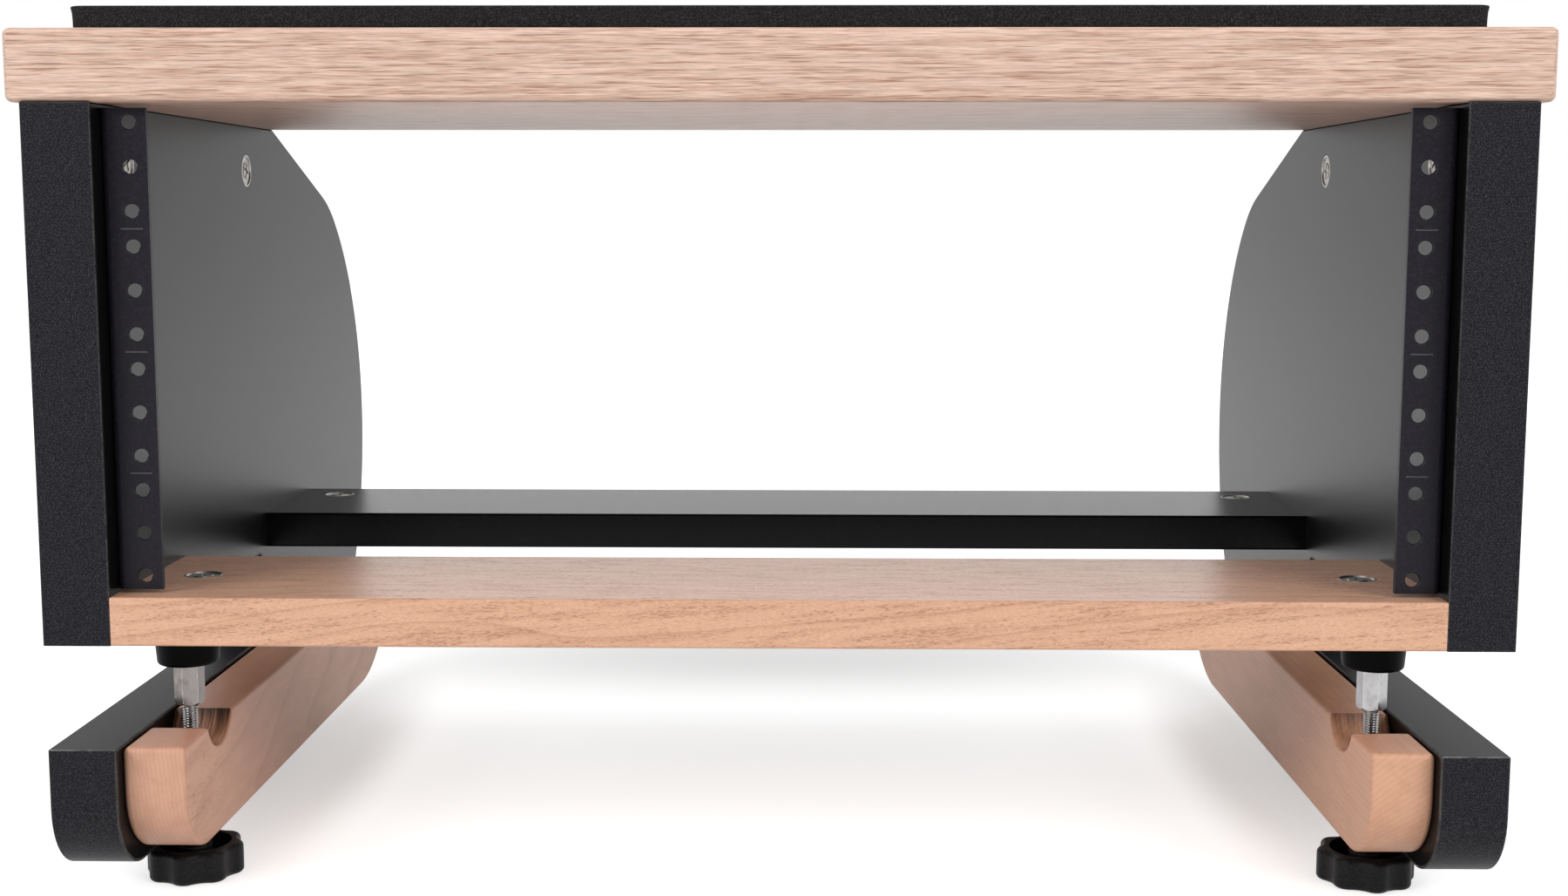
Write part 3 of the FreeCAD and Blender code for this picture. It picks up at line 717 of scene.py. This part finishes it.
def dress(node: str, finish: Finish) -> None:
    """Gives a CAD node its finish.

    Args:
        node: The node's name.
        finish: Its finish.
    """
    materials = frame["nodes"][node].data.materials
    materials.clear()
    materials.append(finish.material())
    LOG.info("dressed %s in %s", node, finish.name)


def add_object(shape: Shape, name: str) -> bpy.types.Object:
    """Adds a shape to the scene.

    Args:
        shape: The shape, which is freed.
        name: Name of its mesh and its object.

    Returns:
        The object.
    """
    mesh = bpy.data.meshes.new(name)
    shape.to_mesh(mesh)
    shape.free()
    made = bpy.data.objects.new(name, mesh)
    bpy.context.scene.collection.objects.link(made)
    return made


def add_piece(shape: Shape, name: str, finish: Finish, body: str, *nodes: str,
              crease: float = 35.0) -> bpy.types.Object:
    """Makes a piece of a shape and lets it ride.

    Args:
        shape: The shape, which is freed.
        name: The piece's name.
        finish: Its finish.
        body: Body that it rides on.
        nodes: CAD nodes that it stands for.
        crease: Angle in degrees above which an edge stays sharp.

    Returns:
        The piece.
    """
    bmesh.ops.recalc_face_normals(shape, faces=shape.faces)
    piece = add_object(shape, name)
    mesh = piece.data
    mesh.polygons.foreach_set("use_smooth", [True] * len(mesh.polygons))
    mesh.set_sharp_from_angle(angle=math.radians(crease))
    mesh.materials.append(finish.material())
    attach(piece, body)
    if nodes:
        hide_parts(*nodes)
    LOG.info("built %s on %s", name, body)
    return piece


def loft(shape: Shape, rings: Sequence[Sequence[Vector]]) -> None:
    """Adds a closed skin over rings, with a face on both ends.

    Args:
        shape: Shape that takes the skin.
        rings: Rings of as many points each.
    """
    rows = [[shape.verts.new(point) for point in ring] for ring in rings]
    for low, high in zip(rows, rows[1:]):
        for i in range(len(low)):
            j = (i + 1) % len(low)
            shape.faces.new((low[i], low[j], high[j], high[i]))
    shape.faces.new(reversed(rows[0]))
    shape.faces.new(rows[-1])


def spoke(turn: float) -> Vector:
    """Level way at a turn from X."""
    return Vector((math.cos(turn), math.sin(turn), 0.0))


@dataclass(frozen=True)
class Thread:
    """Screw thread about Z, as a ridge that winds up from its foot."""

    root: float
    crest: float
    pitch: float
    turns: float
    steps: int = 20
    flat_share: float = 0.12
    foot_share: float = 0.8

    def wound(self, section: Sequence[Pair], first: int, last: int) -> list[list[Vector]]:
        """Section of the thread at each step of its winding.

        Args:
            section: Radius and height of the section's points.
            first: Step that it starts at.
            last: Step that it ends at.

        Returns:
            The section's points at each step.
        """
        rows = []
        for i in range(first, last + 1):
            way = spoke(2 * math.pi * i / self.steps)
            rise = self.pitch * i / self.steps
            rows.append([way * radius + Vector((0.0, 0.0, rise + z)) for radius, z in section])
        return rows

    def ridge(self, shape: Shape, place: Matrix) -> None:
        """Adds a closed ridge of three sides.

        Args:
            shape: Shape that takes the ridge.
            place: Where its foot and axis are.
        """
        half = self.pitch * self.foot_share / 2
        section = ((self.root, -half), (self.crest, 0.0), (self.root, half))
        rows = self.wound(section, 0, int(self.turns * self.steps))
        loft(shape, [[place @ point for point in row] for row in rows])

    def rod(self, shape: Shape, foot: Vector) -> None:
        """Adds a rod with this thread on it.

        Args:
            shape: Shape that takes the rod.
            foot: Middle of its lower end.
        """
        low = self.pitch * (1 - self.flat_share) / 2
        section = ((self.root, 0.0), (self.crest, low), (self.crest, self.pitch - low))
        count = int(self.turns * self.steps)
        points = self.wound(section, -self.steps, count)
        rows = [[shape.verts.new(foot + point) for point in row] for row in points]
        for i in range(count):
            near = [*rows[i], rows[i + self.steps][0]]
            far = [*rows[i + 1], rows[i + 1 + self.steps][0]]
            for j in range(len(section)):
                shape.faces.new((near[j], far[j], far[j + 1], near[j + 1]))
        for vert in [vert for vert in shape.verts if not vert.link_faces]:
            shape.verts.remove(vert)
        rims = [edge for edge in shape.edges if edge.is_boundary]
        bmesh.ops.triangulate(shape, faces=bmesh.ops.holes_fill(shape, edges=rims)["faces"])


@dataclass(frozen=True)
class Lamp:
    """A soft box of the studio."""

    name: str
    place: Triple
    aim: Triple
    width: float
    height: float
    power: float

    def build(self) -> None:
        """Adds the lamp to the scene."""
        light = bpy.data.lights.new(self.name, "AREA")
        light.shape = "RECTANGLE"
        light.size = self.width
        light.size_y = self.height
        light.energy = self.power
        lamp = bpy.data.objects.new(self.name, light)
        lamp.location = self.place
        lamp.rotation_euler = (Vector(self.aim) - Vector(self.place)).to_track_quat("-Z", "Y").to_euler()
        bpy.context.scene.collection.objects.link(lamp)


@dataclass(frozen=True)
class FloorShade:
    """A painted shadow: a soft dimming of the floor's glow, on one spot or mirrored to both sides."""

    middle: Triple
    reach: Triple
    share: float
    core: float
    mirrored: bool = False


@dataclass
class Studio:
    """White floor, soft light and the camera."""

    camera_place: Triple = (0.0135, -0.896, 0.2598)
    camera_turn: Triple = (83.13, -0.05, 0.87)
    lens: float = 44.68
    sensor: float = 36.0
    clip_start: float = 0.01
    floor_size: float = 12.0
    floor_drop: float = 0.2 * MM
    floor_colour: Colour = (0.75, 0.75, 0.75)
    floor_glow: float = 0.75
    glow_span: Pair = (0.6, 1.2)
    # Painted shadows: a soft patch behind the rack, and one along each clamp rail.
    shades: tuple[FloorShade, ...] = (
        FloorShade((0.0, 0.235, 0.0), (0.36, 0.13, 1.0), share=0.42, core=0.1),
        FloorShade((0.222, 0.0, 0.0), (0.047, 0.24, 1.0), share=0.34, core=0.3, mirrored=True),
    )
    front_light: float = 0.4
    rear_light: float = 0.2
    light_span: Pair = (-0.3, 0.6)
    room_dark: float = 0.2
    room_span: Pair = (-0.55, 0.25)
    lamps: tuple[Lamp, ...] = (
        Lamp("left_box", (-1.5, -1.55, 1.1), (0.0, 0.0, 0.12), 1.2, 0.6, 17.5),
        Lamp("right_box", (1.5, -1.55, 1.1), (0.0, 0.0, 0.12), 1.2, 0.6, 17.5),
        Lamp("top_box", (0.0, -0.3, 2.2), (0.0, 0.0, 0.1), 1.6, 1.6, 11.0),
    )

    def build(self) -> None:
        """Adds camera, world, floor and lamps."""
        scene = bpy.context.scene
        scene.view_settings.view_transform = "Standard"
        camera = bpy.data.objects.new("camera", bpy.data.cameras.new("camera"))
        camera.data.lens = self.lens
        camera.data.sensor_width = self.sensor
        camera.data.clip_start = self.clip_start
        camera.location = self.camera_place
        camera.rotation_euler = [math.radians(angle) for angle in self.camera_turn]
        scene.collection.objects.link(camera)
        scene.camera = camera
        self.light_world()
        self.lay_floor()
        for lamp in self.lamps:
            lamp.build()

    def light_world(self) -> None:
        """White all round for the camera, and a darker room in front for what shines."""
        world = bpy.data.worlds.new("studio")
        world.use_nodes = True
        world.cycles.sampling_method = "NONE"
        bpy.context.scene.world = world
        graph = Graph(world.node_tree)
        path = graph.node("LightPath").outputs
        shown = graph.number("MAXIMUM", path["Is Glossy Ray"], path["Is Transmission Ray"])
        rearward = graph.axes(graph.node("TexCoord").outputs["Generated"])["Y"]
        room = graph.span(rearward, *self.room_span, self.room_dark, 1.0)
        soft = graph.span(rearward, *self.light_span, self.front_light, self.rear_light)
        mirrored = graph.times(shown, graph.number("SUBTRACT", room, soft))
        strength = graph.number("ADD", mirrored, soft)
        strength = graph.number("MAXIMUM", strength, path["Is Camera Ray"])
        background = world.node_tree.nodes["Background"].inputs
        graph.feed_all(background, {"Color": (1.0, 1.0, 1.0), "Strength": strength})

    def lay_floor(self) -> None:
        """Pale floor that keeps the rack's shadow, with painted shadows that dim its glow behind the rack and
        along the clamp rails.
        """
        shape = bmesh.new()
        bmesh.ops.create_grid(shape, x_segments=8, y_segments=8, size=self.floor_size / 2)
        floor = add_object(shape, "floor")
        floor.location.z = -self.floor_drop
        material = bpy.data.materials.new("pale_floor")
        material.use_nodes = True
        material.cycles.emission_sampling = "NONE"
        floor.data.materials.append(material)
        graph = Graph(material.node_tree)
        path = graph.node("LightPath").outputs
        seen = graph.number("MAXIMUM", path["Is Glossy Ray"], path["Is Transmission Ray"])
        seen = graph.number("MAXIMUM", seen, path["Is Camera Ray"])
        spot = graph.node("NewGeometry").outputs["Position"]
        glow = graph.span(graph.vector("LENGTH", spot), *self.glow_span, self.floor_glow, 1.0)
        # Painted shadow: each shade dims the glow in a soft ellipse.
        for shade in self.shades:
            place = graph.vector("ABSOLUTE", spot) if shade.mirrored else spot
            away = graph.vector("DIVIDE", graph.vector("SUBTRACT", place, shade.middle), shade.reach)
            away = graph.vector("LENGTH", away)
            glow = graph.times(glow, graph.span(away, 1.0, shade.core, 1.0, 1.0 - shade.share))
        surface = material.node_tree.nodes["Principled BSDF"].inputs
        graph.feed_all(surface, {
            "Base Color": self.floor_colour, "Roughness": 1.0, "Specular IOR Level": 0.0,
            "Emission Color": (1.0, 1.0, 1.0), "Emission Strength": graph.times(seen, glow)})


@dataclass
class TopDeck:
    """Oak top board and the foam mat on it."""

    mat_corner: float = 6 * MM
    mat_step: float = 5 * MM
    corner_steps: int = 6
    mat_side: tuple[Pair, ...] = (
        (0.6 * MM, 0.0), (0.57 * MM, 0.35), (0.42 * MM, 0.7), (0.15 * MM, 0.86), (0.0, 0.94),
        (0.25 * MM, 0.985), (0.9 * MM, 1.0), (3 * MM, 0.995))
    mat_rows: tuple[float, ...] = (0.95, 0.85, 0.7, 0.5, 0.3, 0.12)
    mat_wave: float = 0.12 * MM
    edge_turns: Pair = (0.37, 0.91)
    dip_turns: Triple = (31.0, 47.0, 12.0)
    dip_share: float = 0.3

    def build(self) -> None:
        """Dresses the board and lays the mat."""
        dress("top_board", OAK)
        low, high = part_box("top_mat")
        outline = self.outline(low, high)
        rings = []
        for inset, share in self.mat_side:
            level = low.z + (high.z - low.z) * share
            ring = []
            for i, (point, way) in enumerate(outline):
                wave = math.sin(i * self.edge_turns[0]) + math.sin(i * self.edge_turns[1] + 1.3)
                spot = point - way * (inset + self.mat_wave * (1.0 + wave / 2))
                ring.append(Vector((spot.x, spot.y, level)))
            rings.append(ring)
        middle = Vector(((low.x + high.x) / 2, (low.y + high.y) / 2, high.z))
        border = rings[-1]
        along, deep, aslant = self.dip_turns
        for share in self.mat_rows:
            ring = []
            for point in border:
                spot = middle.lerp(point, share)
                wave = 2.0 + math.sin(spot.x * along + 0.6) + math.sin(spot.y * deep + spot.x * aslant)
                ring.append(Vector((spot.x, spot.y, high.z - self.dip_share * self.mat_wave * wave)))
            rings.append(ring)
        shape = bmesh.new()
        loft(shape, rings)
        mat = add_piece(shape, "mat_foam_sheet", MAT_FOAM, "rack", "top_mat", crease=50.0)

    def outline(self, low: Vector, high: Vector) -> list[tuple[Vector, Vector]]:
        """Rectangle with round corners.

        Args:
            low: Lowest corner.
            high: Highest corner.

        Returns:
            Points with their outward ways.
        """
        radius = self.mat_corner
        left, right = low.x + radius, high.x - radius
        front, rear = low.y + radius, high.y - radius
        points: list[tuple[Vector, Vector]] = []
        for quarter, (x, y) in enumerate(((right, rear), (left, rear), (left, front), (right, front))):
            for i in range(self.corner_steps + 1):
                way = spoke(math.pi / 2 * (quarter + i / self.corner_steps))
                start = Vector((x, y, 0.0)) + way * radius
                if points and i == 0:
                    points += self.run(points[-1][0], start, way)
                points.append((start, way))
        points += self.run(points[-1][0], *points[0])
        return points

    def run(self, start: Vector, end: Vector, way: Vector) -> list[tuple[Vector, Vector]]:
        """Points between two corners with their outward way, without the ends."""
        count = max(2, round((end - start).length / self.mat_step))
        return [(start.lerp(end, i / count), way) for i in range(1, count)]


@dataclass
class SidePanel:
    """Laminated side panel with its edging."""

    side: Side

    def build(self) -> None:
        """Dresses the panel."""
        dress(self.side.node("side_panel"), LAMINATE)
        dress(self.side.node("panel_edging"), EDGING)


@dataclass
class RackRail:
    """Drilled rail with tapped holes and a line at each unit's end."""

    side: Side
    mark_length: float = 8.2 * MM
    mark_width: float = 0.55 * MM
    mark_side: tuple[Pair, ...] = ((0.0, -0.02 * MM), (0.05 * MM, 0.084 * MM), (0.2 * MM, 0.12 * MM))
    mark_steps: int = 6
    tap: Thread = Thread(root=3.02 * MM, crest=2.6 * MM, pitch=1 * MM, turns=1.4, steps=18)
    tap_depth: float = 0.4 * MM

    def build(self) -> None:
        """Dresses the rail, and adds its lines and threads."""
        dress(self.side.node("rack_rail"), RAIL_PAINT)
        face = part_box(self.side.node("rack_rail"))[0].y
        patterns = [mount for mount in frame["record"]["mounts"] if mount["kind"] == "bolt_pattern"]
        corners = [mount for mount in patterns if "spacing_y_mm" in mount["dims"]]
        column = self.side.value * corners[0]["dims"]["spacing_x_mm"] / 2 * MM
        levels = sorted(mount["pos_m"][2] for mount in corners)
        for number, (below, above) in enumerate(zip(levels, levels[1:]), start=1):
            self.mark(Vector((column, face, (below + above) / 2)), number)
        threads = bmesh.new()
        upright = Matrix.Rotation(-math.pi / 2, 4, "X")
        for mount in patterns:
            rise = mount["dims"].get("spacing_y_mm", 0.0) / 2 * MM
            for level in sorted({mount["pos_m"][2] - rise, mount["pos_m"][2] + rise}):
                foot = Matrix.Translation((column, face + self.tap_depth, level))
                self.tap.ridge(threads, foot @ upright)
        add_piece(threads, self.side.node("rail_threads"), RAIL_PAINT, "rack")

    def mark(self, middle: Vector, number: int) -> None:
        """Adds a raised line across the hole column.

        Args:
            middle: Its middle, on the rail's face.
            number: Its number from below.
        """
        half = (self.mark_length - self.mark_width) / 2
        rings = []
        for inset, rise in self.mark_side:
            radius = self.mark_width / 2 - inset
            ring = []
            for end in (1, -1):
                for i in range(self.mark_steps + 1):
                    turn = math.pi * (i / self.mark_steps - end / 2)
                    x = end * half + radius * math.cos(turn)
                    ring.append(middle + Vector((x, -rise, radius * math.sin(turn))))
            rings.append(ring)
        shape = bmesh.new()
        loft(shape, rings)
        add_piece(shape, self.side.node(f"rail_line_{number}"), RAIL_MARK, "rack")


@dataclass
class CamFittings:
    """Cam locks with their bolts and dowels."""

    radius: float = 7.46 * MM
    length: float = 11.5 * MM
    rim: float = 1.0 * MM
    bevel: float = 0.25 * MM
    bevel_height: float = 0.3 * MM
    sink: float = 0.5 * MM
    hub_foot: float = 3.9 * MM
    hub_top: float = 3.6 * MM
    hub_eye: float = 1.0 * MM
    hub_sink: float = 0.2 * MM
    cross_length: float = 7.4 * MM
    cross_width: float = 1.5 * MM
    cross_depth: float = 0.9 * MM
    steps: int = 48
    first_turn: float = 0.35
    next_turn: float = 0.9

    def build(self) -> None:
        """Builds the locks that show, and dresses what is behind them."""
        lock = self.lock()
        panels = [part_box(side.node("side_panel")) for side in Side]
        faces = (panels[0][1].x, panels[1][0].x)
        low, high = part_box("top_cam_locks")
        middle = (low.z + high.z) / 2
        reach = (high.z - low.z) / 2
        places = []
        for x, turn in zip(faces, (math.pi / 2, -math.pi / 2)):
            for y in (low.y + reach, high.y - reach):
                places.append(Matrix.Translation((x, y, middle)) @ Matrix.Rotation(turn, 4, "Y"))
        self.set_locks("top_cam_locks", lock, places)
        for node in ("shelf_cam_locks", "crossbar_cam_locks"):
            low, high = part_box(node)
            reach = (high.y - low.y) / 2
            spots = [(x, (low.y + high.y) / 2, high.z) for x in (low.x + reach, high.x - reach)]
            self.set_locks(node, lock, [Matrix.Translation(spot) for spot in spots])
        for board in ("top", "shelf", "crossbar"):
            dress(f"{board}_cam_bolts", ZINC)
            dress(f"{board}_dowels", DOWEL_BEECH)
        bpy.data.meshes.remove(lock)

    def set_locks(self, node: str, lock: bpy.types.Mesh, places: Sequence[Matrix]) -> None:
        """Adds one piece for all locks of a board.

        Args:
            node: CAD node that they stand for.
            lock: Mesh of one lock.
            places: Where the middles of their faces are.
        """
        shape = bmesh.new()
        for number, place in enumerate(places):
            start = len(shape.verts)
            shape.from_mesh(lock)
            shape.verts.ensure_lookup_table()
            turned = place @ Matrix.Rotation(self.first_turn + self.next_turn * number, 4, "Z")
            bmesh.ops.transform(shape, matrix=turned, verts=shape.verts[start:])
        add_piece(shape, node.replace("locks", "faces"), NICKEL, "rack", node, crease=30.0)

    def lock(self) -> bpy.types.Mesh:
        """Makes a lock whose face looks up from the origin, with a rim and a cross recess.

        Returns:
            The lock's mesh.
        """
        inner = self.radius - self.rim
        profile = ((self.radius, self.length), (self.radius, self.bevel_height),
                   (self.radius - self.bevel, 0.0), (inner, 0.0), (inner - self.bevel, self.sink),
                   (self.hub_foot, self.sink), (self.hub_top, self.hub_sink), (self.hub_eye, self.hub_sink))
        ways = [spoke(2 * math.pi * i / self.steps) for i in range(self.steps)]
        body = bmesh.new()
        loft(body, [[way * radius - Vector((0.0, 0.0, depth)) for way in ways] for radius, depth in profile])
        cutter = bmesh.new()
        for length, width in ((self.cross_length, self.cross_width), (self.cross_width, self.cross_length)):
            bar = bmesh.ops.create_cube(cutter, size=1.0)["verts"]
            bmesh.ops.scale(cutter, vec=(length, width, 2 * self.cross_depth), verts=bar)
        objects = []
        for name, shape in (("lock_body", body), ("lock_cutter", cutter)):
            bmesh.ops.recalc_face_normals(shape, faces=shape.faces)
            objects.append(add_object(shape, name))
        cut = objects[0].modifiers.new("cross", "BOOLEAN")
        cut.operation = "DIFFERENCE"
        cut.object = objects[1]
        cut.use_self = True
        evaluated = objects[0].evaluated_get(bpy.context.evaluated_depsgraph_get())
        result = bpy.data.meshes.new_from_object(evaluated)
        for old in objects:
            mesh = old.data
            bpy.data.objects.remove(old)
            bpy.data.meshes.remove(mesh)
        return result


@dataclass
class Boards:
    """Front shelf and rear crossbar, and the screws of rails."""

    def build(self) -> None:
        """Dresses the boards and the screws."""
        dress("bottom_shelf", SHELF_BEECH)
        # The crossbar takes the darker copy of the laminate, which is painted shade.
        dress("rear_crossbar", SHADED_BAR_LAMINATE)
        dress("rack_rail_screws", ZINC)
        dress("clamp_rail_screws", ZINC)


@dataclass
class DeskClamp:
    """Wooden rail with a screw that presses a pad against the desk."""

    side: Side
    root_share: float = 0.82
    pitch: float = 1 * MM
    steps: int = 24

    def build(self) -> None:
        """Dresses the clamp and cuts the thread of its rod."""
        beech, nut = (LEFT_BEECH, STAINED_ZINC) if self.side is Side.LEFT else (RIGHT_BEECH, ZINC)
        finishes = {"clamp_rail": beech, "thread_insert": BRASS, "clamp_pad": SHADED_PAD_PLASTIC, "pad_stud": ZINC,
                    "coupling_nut": nut, "knob": KNOB_PLASTIC}
        for name, finish in finishes.items():
            dress(self.side.node(name), finish)
        low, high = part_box(self.side.node("threaded_rod"))
        radius = (high.x - low.x) / 2
        thread = Thread(root=radius * self.root_share, crest=radius, pitch=self.pitch,
                        turns=math.floor((high.z - low.z) / self.pitch) - 1, steps=self.steps)
        shape = bmesh.new()
        thread.rod(shape, Vector(((low.x + high.x) / 2, (low.y + high.y) / 2, low.z + self.pitch)))
        add_piece(shape, self.side.node("rod_thread"), ZINC, self.side.node("screw"),
                  self.side.node("threaded_rod"), crease=40.0)


def main() -> None:
    """Builds the studio and the rack's pieces in order."""
    logging.basicConfig(level=logging.INFO, format="%(message)s")
    Studio().build()
    TopDeck().build()
    Boards().build()
    CamFittings().build()
    for side in Side:
        SidePanel(side).build()
        RackRail(side).build()
        DeskClamp(side).build()


if __name__ == "__main__":
    main()
